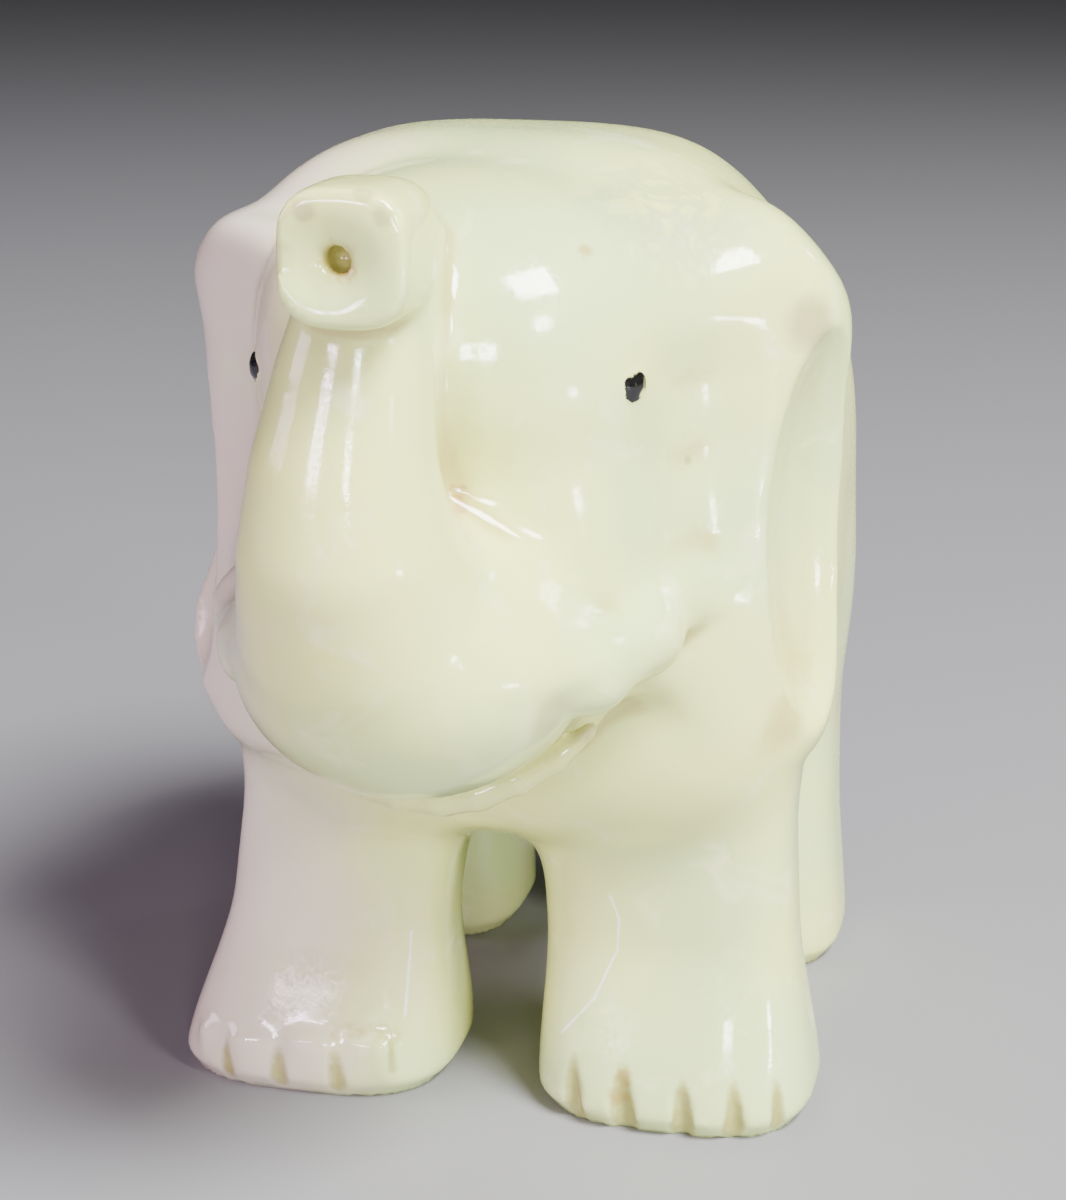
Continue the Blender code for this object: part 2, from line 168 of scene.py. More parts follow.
# Tail: a short cord in relief down the rump.
TAIL_PATH = (
    (mm(0, 35.0, 48), 1.3 * MM),
    (mm(0.6, 35.6, 40), 1.3 * MM),
    (mm(0.6, 35.6, 31), 1.2 * MM),
    (mm(0, 34.9, 25.5), 1.6 * MM),
)

# Blends: how wide a fillet joins each form to the rest.
SOFT_BLEND = 7 * MM
LIMB_BLEND = 6 * MM
FACE_BLEND = 4 * MM
HOOD_BLEND = 4 * MM
EAR_BLEND = 2 * MM
CREVICE_BLEND = 1.5 * MM
CRISP_BLEND = 0.5 * MM

# Fine carving. Toes are pads that stand proud of the far foot; on both feet grooves part them, each
# from its top to its foot, widening downwards. The far foot's toes end at a ledge.
TOE_PADS = (
    (mm(-18.4, -5.9, 2.6), mm(1.5, 1.5, 1.7)),
    (mm(-15.6, -7.0, 2.8), mm(1.9, 1.4, 1.8)),
    (mm(-11.5, -7.2, 3.0), mm(2.1, 1.4, 1.9)),
    (mm(-7.5, -6.9, 3.0), mm(2.0, 1.4, 2.0)),
)
TOE_SQUARENESS = 3.0
FRONT_TOE_GROOVES = (
    (mm(-17.6, -8.2, 3.6), mm(-17.2, -8.2, -0.4), 0.2 * MM, 0.55 * MM),
    (mm(-13.8, -8.7, 4.4), mm(-13.3, -8.8, -0.4), 0.25 * MM, 0.75 * MM),
    (mm(-9.6, -8.7, 4.8), mm(-9.3, -8.8, -0.4), 0.25 * MM, 0.85 * MM),
    (mm(-5.6, -7.9, 4.9), mm(-5.4, -8.0, 2.4), 0.35 * MM, 0.35 * MM),
    (mm(6.4, -7.6, 5.2), mm(6.8, -7.8, -0.4), 0.3 * MM, 0.8 * MM),
    (mm(9.9, -8.3, 5.0), mm(10.4, -8.4, -0.4), 0.3 * MM, 0.95 * MM),
    (mm(14.1, -8.4, 4.3), mm(14.2, -8.4, -0.4), 0.25 * MM, 0.9 * MM),
    (mm(17.5, -8.0, 4.6), mm(17.6, -8.0, -0.4), 0.25 * MM, 0.8 * MM),
    (mm(20.2, -6.6, 4.6), mm(20.4, -6.5, -0.4), 0.2 * MM, 0.65 * MM),
)
HIND_TOE_GROOVES = (
    (mm(8.5, 18.6, 3.4), mm(8.5, 18.6, -0.4), 0.2 * MM, 0.6 * MM),
    (mm(12.0, 18.4, 3.4), mm(12.0, 18.4, -0.4), 0.2 * MM, 0.6 * MM),
    (mm(15.5, 18.6, 3.4), mm(15.5, 18.6, -0.4), 0.2 * MM, 0.6 * MM),
    (mm(-8.5, 18.6, 3.4), mm(-8.5, 18.6, -0.4), 0.2 * MM, 0.6 * MM),
    (mm(-12.0, 18.4, 3.4), mm(-12.0, 18.4, -0.4), 0.2 * MM, 0.6 * MM),
    (mm(-15.5, 18.6, 3.4), mm(-15.5, 18.6, -0.4), 0.2 * MM, 0.6 * MM),
)
TOE_LEDGE = (
    (mm(-18.6, -7.9, 4.0), 0.2 * MM),
    (mm(-13.8, -8.4, 4.7), 0.3 * MM),
    (mm(-9.6, -8.3, 5.0), 0.4 * MM),
    (mm(-7.4, -8.1, 5.1), 0.55 * MM),
    (mm(-5.6, -7.4, 5.0), 0.4 * MM),
)
NEAR_EYE_AT = mm(11.5, -15.5, 51.7)
EYE_FACING = Vector((0.89, -0.46, 0)).normalized()
EYE_SIZE = mm(1.0, 0.35, 0.85)
BROW_AT, BROW_FACING = mm(17.5, -9.5, 56.2), Vector((0.3, -0.62, 0.72)).normalized()
MOUTH_CREASE = (
    (mm(-5.6, -15.6, 27.0), 0.2 * MM),
    (mm(-2.0, -18.0, 26.9), 0.4 * MM),
    (mm(1.0, -19.0, 27.4), 0.5 * MM),
    (mm(4.6, -19.4, 28.6), 0.55 * MM),
    (mm(7.6, -18.8, 30.4), 0.55 * MM),
    (mm(10.2, -17.6, 32.6), 0.4 * MM),
)
SOLE_FLAT = 0.15 * MM
HOLLOW_REACH = 2.5 * MM


class Field:
    """A number or a vector that the node tree works out at every point of space."""

    def __init__(self, tree, socket):
        self.tree = tree
        self.socket = socket

    def node(self, kind, operation, *others):
        node = self.tree.nodes.new(kind)
        node.operation = operation
        for socket, value in zip(node.inputs, (self, *others)):
            if isinstance(value, Field):
                self.tree.links.new(value.socket, socket)
            else:
                socket.default_value = value
        return node

    def math(self, operation, *others):
        node = self.node("ShaderNodeMath", operation, *others)
        return Field(self.tree, node.outputs[0])

    def vector(self, operation, *others):
        node = self.node("ShaderNodeVectorMath", operation, *others)
        found = next(socket for socket in node.outputs if socket.enabled)
        return Field(self.tree, found)

    def parts(self):
        node = self.tree.nodes.new("ShaderNodeSeparateXYZ")
        self.tree.links.new(self.socket, node.inputs[0])
        return [Field(self.tree, socket) for socket in node.outputs]

    def __add__(self, other):
        return self.math("ADD", other)

    def __sub__(self, other):
        return self.math("SUBTRACT", other)

    def __mul__(self, other):
        return self.math("MULTIPLY", other)

    def __truediv__(self, other):
        return self.math("DIVIDE", other)

    def joined(self, other, blend):
        """This form and the other, with a fillet where they meet."""
        return self.math("SMOOTH_MIN", other, blend)

    def cut(self, other, blend):
        """This form without the other, with a rounded rim."""
        return self.math("SMOOTH_MAX", other * -1.0, blend)

    def within(self, other, blend):
        """What this form and the other share."""
        return self.math("SMOOTH_MAX", other, blend)


def rounded(offset, size, squareness=2.0):
    """Distance to an ellipsoid, squarer as squareness goes above 2. offset is from its centre."""
    share = offset.vector("DIVIDE", size).vector("ABSOLUTE")
    raised = share.vector("POWER", (squareness,) * 3).vector("DOT_PRODUCT", (1, 1, 1))
    reach = raised.math("POWER", 1 / squareness) + 1e-6
    return offset.vector("LENGTH") * ((reach - 1.0) / reach)


def stroke(point, start, end, start_radius, end_radius):
    """Distance to a round bar that tapers from start to end."""
    along = end - start
    offset = point.vector("SUBTRACT", start)
    share = offset.vector("DOT_PRODUCT", along / along.length_squared)
    share = share.math("MAXIMUM", 0.0).math("MINIMUM", 1.0)
    nearest = point.tree.nodes.new("ShaderNodeVectorMath")
    nearest.operation = "SCALE"
    nearest.inputs[0].default_value = along
    point.tree.links.new(share.socket, nearest.inputs["Scale"])
    gap = offset.vector("SUBTRACT", Field(point.tree, nearest.outputs[0]))
    return gap.vector("LENGTH") - (share * (end_radius - start_radius) + start_radius)


def chain(point, path, blend):
    """Distance to a bar that follows a path of (centre, radius)."""
    form = None
    for (start, start_radius), (end, end_radius) in zip(path, path[1:]):
        bar = stroke(point, start, end, start_radius, end_radius)
        form = bar if form is None else form.joined(bar, blend)
    return form


def half_space(point, at, outward):
    """Distance to everything behind a plane through a point."""
    return point.vector("SUBTRACT", at).vector("DOT_PRODUCT", outward)


def ramp(value, start, end, low, high):
    """A smooth step from low, where value is start, to high, where it is end."""
    node = value.tree.nodes.new("ShaderNodeMapRange")
    node.interpolation_type = "SMOOTHSTEP"
    value.tree.links.new(value.socket, node.inputs["Value"])
    for name, number in zip(("From Min", "From Max", "To Min", "To Max"), (start, end, low, high)):
        node.inputs[name].default_value = number
    return Field(value.tree, node.outputs["Result"])


def opposite(point, shift):
    """The point mirrored across X and shifted, so that a form drawn at +X shows at -X."""
    return point.vector("MULTIPLY", (-1, 1, 1)).vector("ADD", (shift, 0, 0))


def mirrored(point):
    """The point with its X made positive, so that a form drawn at +X shows on both sides."""
    x, y, z = point.parts()
    return combined(x.math("ABSOLUTE"), y, z)


def combined(*coordinates):
    tree = coordinates[0].tree
    node = tree.nodes.new("ShaderNodeCombineXYZ")
    for coordinate, socket in zip(coordinates, node.inputs):
        tree.links.new(coordinate.socket, socket)
    return Field(tree, node.outputs[0])


def leg(point, at, lean, size, foot_size):
    """A column with a rounded square section that flares to its foot and rounds under at the sole."""
    x, y, z = point.parts()
    flare = ramp(z, 0, FOOT_FLARE_TOP, 1.0, 0.0)
    under = ramp(z, 0, SOLE_EDGE_HEIGHT, SOLE_ROUNDING, 0.0)
    half_width = flare * (foot_size.x - size.x) + size.x - under
    half_length = flare * (foot_size.y - size.y) + size.y - under
    x = x - at.x - z * (lean.x / LEG_TOP)
    y = y - at.y - z * (lean.y / LEG_TOP)
    raised = powers(x / half_width, LEG_SQUARENESS) + powers(y / half_length, LEG_SQUARENESS)
    reach = raised.math("POWER", 1 / LEG_SQUARENESS) + 1e-6
    radial = (x * x + y * y).math("SQRT") * ((reach - 1.0) / reach)
    return radial.within(z - LEG_TOP, LEG_TOP_ROUNDING)


def powers(value, power):
    return value.math("ABSOLUTE").math("POWER", power)


def body(point):
    shoulders = rounded(point.vector("SUBTRACT", SHOULDERS_AT), SHOULDERS_SIZE, SHOULDERS_SQUARENESS)
    rump = rounded(point.vector("SUBTRACT", RUMP_AT), RUMP_SIZE, RUMP_SQUARENESS)
    _, _, z = point.parts()
    trunk = shoulders.joined(rump, SOFT_BLEND).within(z * -1.0 + BELLY_HEIGHT, SOFT_BLEND)
    chest = rounded(point.vector("SUBTRACT", CHEST_AT), CHEST_SIZE, CHEST_SQUARENESS)
    return trunk.joined(chest, LIMB_BLEND)


def head(point):
    skull = rounded(point.vector("SUBTRACT", SKULL_AT), SKULL_SIZE, SKULL_SQUARENESS)
    face = rounded(point.vector("SUBTRACT", FACE_AT), FACE_SIZE, FACE_SQUARENESS)
    jaw = rounded(point.vector("SUBTRACT", JAW_AT), JAW_SIZE, JAW_SQUARENESS)
    snout = rounded(point.vector("SUBTRACT", SNOUT_AT), SNOUT_SIZE)
    return skull.joined(face, FACE_BLEND).joined(jaw, FACE_BLEND).joined(snout, FACE_BLEND)


def ear(side, at, size, waist, waist_heights, hem_at, hem_turn, hem_blend):
    """The flap before it is hollowed."""
    x, y, z = side.parts()
    low, full, still_full, high = waist_heights
    drawn_in = ramp(z, low, full, 0.0, waist) * ramp(z, still_full, high, 1.0, 0.0)
    flap = rounded(combined(x + drawn_in, y, z).vector("SUBTRACT", at), size, EAR_SQUARENESS)
    front = Vector((math.sin(EAR_RIDGE_TURN), -math.cos(EAR_RIDGE_TURN), 0))
    flap = flap.within(half_space(side, EAR_RIDGE_AT, front), FACE_BLEND)
    below = Vector((math.sin(hem_turn), 0, -math.cos(hem_turn)))
    return flap.within(half_space(side, hem_at, below), hem_blend)


def scoop(side):
    return rounded(side.vector("SUBTRACT", SCOOP_AT), SCOOP_SIZE)


def raised_trunk(point):
    column = chain(point, TRUNK_PATH, FACE_BLEND)
    tip = rounded(point.vector("SUBTRACT", TIP_AT), TIP_SIZE, TIP_SQUARENESS)
    tip = tip.within(half_space(point, Vector((0, TIP_FACE_AT, 0)), Vector((0, -1, 0))), CRISP_BLEND)
    web = rounded(point.vector("SUBTRACT", WEB_AT), WEB_SIZE, WEB_SQUARENESS)
    return column.joined(web, CREVICE_BLEND).joined(tip, CREVICE_BLEND)


def hood(point, form):
    """The form cut back to the slopes at both sides of the hood."""
    for side, at, turn, fall in ((1, HOOD_LEFT_AT, HOOD_LEFT_SLOPE, HOOD_LEFT_FALL),
                                 (-1, HOOD_RIGHT_AT, HOOD_RIGHT_SLOPE, HOOD_RIGHT_FALL)):
        slope = Vector((side * math.sin(turn), math.sin(fall), math.cos(turn)))
        form = form.within(half_space(point, at, slope.normalized()), HOOD_BLEND)
    return form


def elephant(point):
    right = opposite(point, RIGHT_EAR_SHIFT)
    form = body(point)
    for at, lean, size, foot_size in LEGS:
        form = form.joined(leg(point, at, lean, size, foot_size), LIMB_BLEND)
    left_ear = ear(point, LEFT_EAR_AT, LEFT_EAR_SIZE, LEFT_WAIST, LEFT_WAIST_HEIGHTS,
                   LEFT_HEM_AT, LEFT_HEM_TURN, LEFT_HEM_BLEND)
    left_ear = left_ear.within(half_space(point, BROW_AT, BROW_FACING), FACE_BLEND)
    form = form.joined(left_ear, EAR_BLEND)
    form = form.joined(ear(right, RIGHT_EAR_AT, RIGHT_EAR_SIZE, RIGHT_WAIST, RIGHT_WAIST_HEIGHTS,
                           RIGHT_HEM_AT, RIGHT_HEM_TURN, RIGHT_HEM_BLEND), EAR_BLEND)
    x, _, z = point.parts()
    form = hood(point, form).joined(head(point), ramp(x, *HEAD_CREASE_ACROSS, CRISP_BLEND, FACE_BLEND))
    side = mirrored(point)
    form = form.cut(chain(point, CHEEK_VALLEY, EAR_BLEND), LIMB_BLEND)
    form = form.cut(scoop(point), CRISP_BLEND).cut(scoop(right), CRISP_BLEND)
    lip = rounded(point.vector("SUBTRACT", LIP_AT), LIP_SIZE, LIP_SQUARENESS)
    form = form.joined(lip, CREVICE_BLEND).joined(chain(point, LIP_EDGE, CRISP_BLEND), CRISP_BLEND)
    form = form.joined(raised_trunk(point), EAR_BLEND * 1.3)
    crease = ramp(z, *TUSK_CREASE_HEIGHTS, CRISP_BLEND, FACE_BLEND)
    form = form.joined(chain(side, TUSK_PATH, CREVICE_BLEND), crease)
    form = form.joined(chain(point, TAIL_PATH, CRISP_BLEND), CREVICE_BLEND)
    form = form.cut(rounded(point.vector("SUBTRACT", NOSTRIL_DISH_AT), NOSTRIL_DISH), CREVICE_BLEND)
    drill = stroke(point, NOSTRIL_AT, NOSTRIL_AT + Vector((0, NOSTRIL_DEPTH, 0)),
                   NOSTRIL_RADIUS, NOSTRIL_RADIUS)
    return form.cut(drill, CRISP_BLEND * 0.5)


def eye(side):
    """Distance to the drop of paint, which lies flat on the side of the face."""
    gap = side.vector("SUBTRACT", NEAR_EYE_AT)
    _, _, up = gap.parts()
    along = gap.vector("DOT_PRODUCT", EYE_FACING.cross(Vector((0, 0, 1))))
    return rounded(combined(along, gap.vector("DOT_PRODUCT", EYE_FACING), up), EYE_SIZE)


def fine_carving(point, form):
    """The form with its toes, its mouth line and its eyes."""
    for at, size in TOE_PADS:
        pad = rounded(point.vector("SUBTRACT", at), size, TOE_SQUARENESS)
        form = form.joined(pad, CRISP_BLEND)
    form = form.cut(chain(point, TOE_LEDGE, CRISP_BLEND), CRISP_BLEND)
    for top, foot, top_radius, foot_radius in FRONT_TOE_GROOVES + HIND_TOE_GROOVES:
        form = form.cut(stroke(point, top, foot, top_radius, foot_radius), CRISP_BLEND * 0.5)
    form = form.cut(chain(point, MOUTH_CREASE, CRISP_BLEND), CRISP_BLEND)
    form = form.joined(eye(mirrored(point)), CRISP_BLEND * 0.5)
    _, _, z = point.parts()
    return form.within(z * -1.0, CRISP_BLEND)


def carving_tree(lowest, highest, grain):
    """The node tree that samples the field in a box and makes its surface."""
    tree = bpy.data.node_groups.new("carving", "GeometryNodeTree")
    tree.interface.new_socket("Geometry", in_out="OUTPUT", socket_type="NodeSocketGeometry")
    point = Field(tree, tree.nodes.new("GeometryNodeInputPosition").outputs[0])
    samples = tree.nodes.new("GeometryNodeVolumeCube")
    tree.links.new((fine_carving(point, elephant(point)) * -1.0).socket, samples.inputs["Density"])
    samples.inputs["Background"].default_value = -1.0
    samples.inputs["Min"].default_value = lowest
    samples.inputs["Max"].default_value = highest
    for axis, low, high in zip("XYZ", lowest, highest):
        samples.inputs["Resolution " + axis].default_value = round((high - low) / grain)
    surface = tree.nodes.new("GeometryNodeVolumeToMesh")
    surface.inputs["Threshold"].default_value = 0.0
    tree.links.new(samples.outputs[0], surface.inputs[0])
    result = tree.nodes.new("NodeGroupOutput")
    tree.links.new(surface.outputs[0], result.inputs[0])
    return tree


def box_of_figure():
    """The lowest and highest corners that the figure reaches, with a margin."""
    left = max(LEFT_EAR_AT.x + LEFT_EAR_SIZE.x, *(at.x + foot_size.x for at, _, _, foot_size in LEGS))
    right = min(at.x - foot_size.x for at, _, _, foot_size in LEGS)
    back = max(RUMP_AT.y + RUMP_SIZE.y, max(at.y + radius for at, radius in TAIL_PATH))
    top = max(SHOULDERS_AT.z + SHOULDERS_SIZE.z, SKULL_AT.z + SKULL_SIZE.z, TIP_AT.z + TIP_SIZE.z)
    margin = Vector((BOX_MARGIN,) * 3)
    return Vector((right, TIP_FACE_AT, -SOLE_CUT)) - margin, Vector((left, back, top)) + margin


def carved_elephant():
    lowest, highest = box_of_figure()
    middle = (lowest + highest) / 2
    rough = bpy.data.objects.new("carving", bpy.data.meshes.new("carving"))
    bpy.context.scene.collection.objects.link(rough)
    rough.modifiers.new("carve", "NODES").node_group = carving_tree(lowest, highest, GRAIN)
    rough.modifiers.new("thin", "DECIMATE").ratio = SURFACE_KEPT
    depsgraph = bpy.context.evaluated_depsgraph_get()
    mesh = bpy.data.meshes.new_from_object(rough.evaluated_get(depsgraph), depsgraph=depsgraph)
    bpy.data.objects.remove(rough)
    mesh.name = "jade_elephant"
    mesh.materials.clear()
    places = vertex_places(mesh) - np.array((middle.x, middle.y, 0))
    places[places[:, 2] < SOLE_FLAT, 2] = 0
    mesh.vertices.foreach_set("co", places.ravel())
    mesh.update()
    mesh.shade_smooth()
    mark_hollows(mesh)
    figure = bpy.data.objects.new("jade_elephant", mesh)
    bpy.context.scene.collection.objects.link(figure)
    return figure, middle


def vertex_places(mesh):
    places = np.empty(3 * len(mesh.vertices))
    mesh.vertices.foreach_get("co", places)
    return places.reshape(-1, 3)


def mark_hollows(mesh):
    """Stores how deep each point lies in a hollow, in metres; ridges come out negative."""
    places = vertex_places(mesh)
    edges = np.empty(2 * len(mesh.edges), dtype=np.int64)
    mesh.edges.foreach_get("vertices", edges)
    ends = edges.reshape(-1, 2)
    spacing = np.linalg.norm(places[ends[:, 0]] - places[ends[:, 1]], axis=1).mean()
    ends = np.concatenate((ends, ends[:, ::-1]))
    count = np.bincount(ends[:, 0], minlength=len(places))[:, None]
    soft = places.copy()
    for _ in range(round((HOLLOW_REACH / spacing) ** 2)):
        gathered = [np.bincount(ends[:, 0], soft[ends[:, 1], axis], len(places)) for axis in range(3)]
        soft = np.stack(gathered, 1) / count
    normals = np.empty(3 * len(places))
    mesh.vertices.foreach_get("normal", normals)
    depth = ((soft - places) * normals.reshape(-1, 3)).sum(1)
    mesh.attributes.new("hollow", "FLOAT", "POINT").data.foreach_set("value", depth)


# Looks. Colours are linear. Stains are places on the stone with a reach and a strength; a few of them
# are painted shade.
CREAM = (0.77, 0.81, 0.27)
PALE_GREEN = (0.63, 0.76, 0.32)
CLOUD = (0.86, 0.88, 0.48)
VEIN = (0.34, 0.40, 0.30)
OCHRE = (0.50, 0.42, 0.12)
OLIVE = (0.34, 0.30, 0.06)
# Earth brown: used for real stains and for painted shade in the mouth and under the tip of the trunk.
EARTH_AND_SHADE = (0.36, 0.30, 0.15)
RUST = (0.36, 0.19, 0.05)
PAINT = (0.006, 0.006, 0.006)
# Near-white of the thin light lines on the legs: scratches and painted highlights along facet edges.
SCRATCH_AND_GLINT_WHITE = (0.95, 0.97, 0.88)
# Colour of the painted lilac light on the figure's right side.
LILAC_LIGHT = (0.72, 0.60, 0.54)


def mixed(tree, share, first, second):
    """A colour between first and second. share is a field; the colours are fields or plain."""
    node = tree.nodes.new("ShaderNodeMix")
    node.data_type = "RGBA"
    tree.links.new(share.socket, node.inputs["Factor"])
    for name, colour in (("A", first), ("B", second)):
        socket = next(s for s in node.inputs if s.name == name and s.type == "RGBA")
        if isinstance(colour, Field):
            tree.links.new(colour.socket, socket)
        else:
            socket.default_value = (*colour, 1)
    return Field(tree, next(s for s in node.outputs if s.type == "RGBA"))


def noise(point, size, detail=2.0, roughness=0.5, distortion=0.0):
    """A cloudy number from 0 to 1 whose clouds are about size across."""
    node = point.tree.nodes.new("ShaderNodeTexNoise")
    point.tree.links.new(point.socket, node.inputs["Vector"])
    node.inputs["Scale"].default_value = 1 / size
    node.inputs["Detail"].default_value = detail
    node.inputs["Roughness"].default_value = roughness
    node.inputs["Distortion"].default_value = distortion
    return Field(point.tree, node.outputs["Fac"])


def spot(point, at, reach, ragged, wobble):
    """1 at a place on the stone, falling to 0 at its reach, with a ragged rim."""
    gap = point.vector("SUBTRACT", at).vector("LENGTH") + (wobble - 0.5) * ragged
    return ramp(gap, reach, reach * 0.3, 0.0, 1.0)


def stroke_mark(point, start, end, reach, wobble, ragged):
    gap = stroke(point, start, end, 0.0, 0.0) + (wobble - 0.5) * ragged
    return ramp(gap, reach, reach * 0.2, 0.0, 1.0)


EYE_CHIP_AT = mm(11.93, -15.1, 51.25)
STAINS_AND_SHADE = (
    (NOSTRIL_AT + mm(0, 1.2, 0), 1.6 * MM, OLIVE, 0.95),
    (NOSTRIL_AT + mm(0.45, 0.9, -0.5), 1.0 * MM, RUST, 0.85),
    (NOSTRIL_AT + mm(0, 0, -0.1), 2.1 * MM, OCHRE, 0.35),
    (mm(-1.9, -35.0, 64.0), 0.9 * MM, EARTH_AND_SHADE, 0.6),
    (mm(1.2, -34.8, 65.1), 0.8 * MM, EARTH_AND_SHADE, 0.5),
    (mm(2.3, -35.0, 63.9), 0.8 * MM, EARTH_AND_SHADE, 0.5),
    (mm(8.6, -15.4, 59.5), 0.7 * MM, OCHRE, 0.8),
    (mm(8.3, -15.8, 58.8), 0.4 * MM, OCHRE, 0.5),
    (mm(13.9, -10.2, 46.3), 0.45 * MM, EARTH_AND_SHADE, 0.7),
    (mm(20.3, -5.3, 54.0), 2.4 * MM, EARTH_AND_SHADE, 0.65),
    (mm(20.0, -6.2, 29.0), 2.6 * MM, OCHRE, 0.6),
    (mm(19.2, -7.3, 27.8), 1.8 * MM, OCHRE, 0.3),
    # The next two are painted shade in the recess under the tusk and at the corner of the mouth, with
    # the brown tint the stone has there.
    (mm(9.0, -18.0, 31.7), 2.0 * MM, EARTH_AND_SHADE, 0.6),
    (mm(8.9, -25.1, 34.6), 2.2 * MM, EARTH_AND_SHADE, 0.45),
    (mm(10.15, -7.9, 3.9), 0.9 * MM, RUST, 0.7),
    (mm(9.75, -7.7, 2.4), 1.1 * MM, RUST, 0.8),
    (mm(-9.6, -8.4, 4.6), 0.8 * MM, OCHRE, 0.8),
    (mm(-5.6, -7.4, 4.7), 0.8 * MM, OCHRE, 0.6),
    (mm(6.8, -7.8, 2.4), 1.0 * MM, EARTH_AND_SHADE, 0.4),
    # Painted shadow: the tip's overhang darkening the column of the trunk beneath it.
    (mm(-1.0, -32.5, 56.6), 3.2 * MM, EARTH_AND_SHADE, 0.3),
)
STREAKS = (
    (mm(2.1, -22.1, 52.5), mm(2.1, -21.6, 47.5), 2.4 * MM, OLIVE, 0.35),
    (mm(2.5, -21.4, 46.1), mm(2.8, -21.6, 45.4), 0.8 * MM, RUST, 0.8),
    (mm(2.8, -21.6, 45.2), mm(5.2, -21.3, 44.0), 0.9 * MM, OCHRE, 0.35),
    (mm(-9.6, -8.2, 5.1), mm(-5.7, -7.3, 5.1), 0.7 * MM, OCHRE, 0.6),
)
# Thin light lines on the front of the legs: partly scratches in the stone, partly painted highlights
# along facet edges that are not carved.
SCRATCHES_AND_GLINTS = (
    (mm(8.7, 0, 15.8), mm(9.3, 0, 14.2), mm(9.2, 0, 12.0), mm(7.8, 0, 8.6), mm(5.6, 0, 5.8)),
    (mm(-5.05, 0, 11.5), mm(-5.2, 0, 5.8)),
)
VEINS_AT, VEINS_REACH = mm(12.0, -8.0, 62.0), 8 * MM


